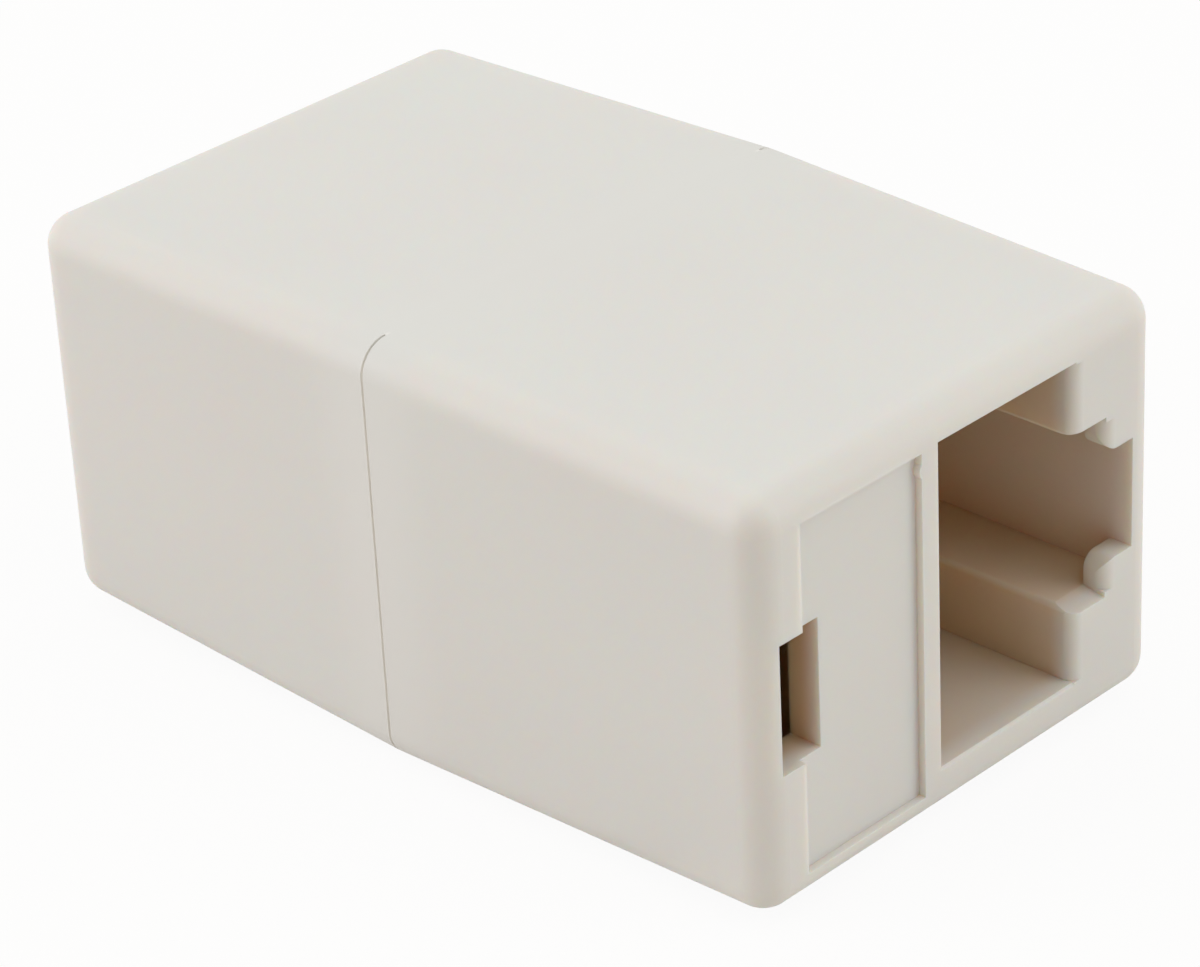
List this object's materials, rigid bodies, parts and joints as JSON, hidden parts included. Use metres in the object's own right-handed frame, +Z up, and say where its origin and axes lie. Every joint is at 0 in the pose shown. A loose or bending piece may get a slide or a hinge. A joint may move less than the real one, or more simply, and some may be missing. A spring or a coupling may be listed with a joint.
{
  "type": "rj45 inline coupler",
  "caption": "Inline coupler that joins modular data plugs end to end: a small rounded box, split across its middle, with a jack mouth in each end face.",
  "frame": {"origin": "centre of the bounding box at its bottom, under the middle of the seam between the shells", "axes": "+Y along the coupler from the front jack to the rear jack, +Z up across the thin way of the box, +X to the side that the front jack's latch slot opens towards"},
  "size_m": [0.02, 0.033, 0.0155],
  "materials": {
    "shell_plastic": "fine matt moulded texture",
    "block_plastic": "plain moulded",
    "contact_metal": "thin gold plate over spring bronze"
  },
  "bodies": {
    "root": {"front_shell": "shell_plastic", "rear_shell": "shell_plastic", "front_contact_block": "block_plastic", "rear_contact_block": "block_plastic", "contact_1": "contact_metal", "contact_2": "contact_metal", "contact_3": "contact_metal", "contact_4": "contact_metal", "contact_5": "contact_metal", "contact_6": "contact_metal", "contact_7": "contact_metal", "contact_8": "contact_metal"}
  },
  "joints": []
}
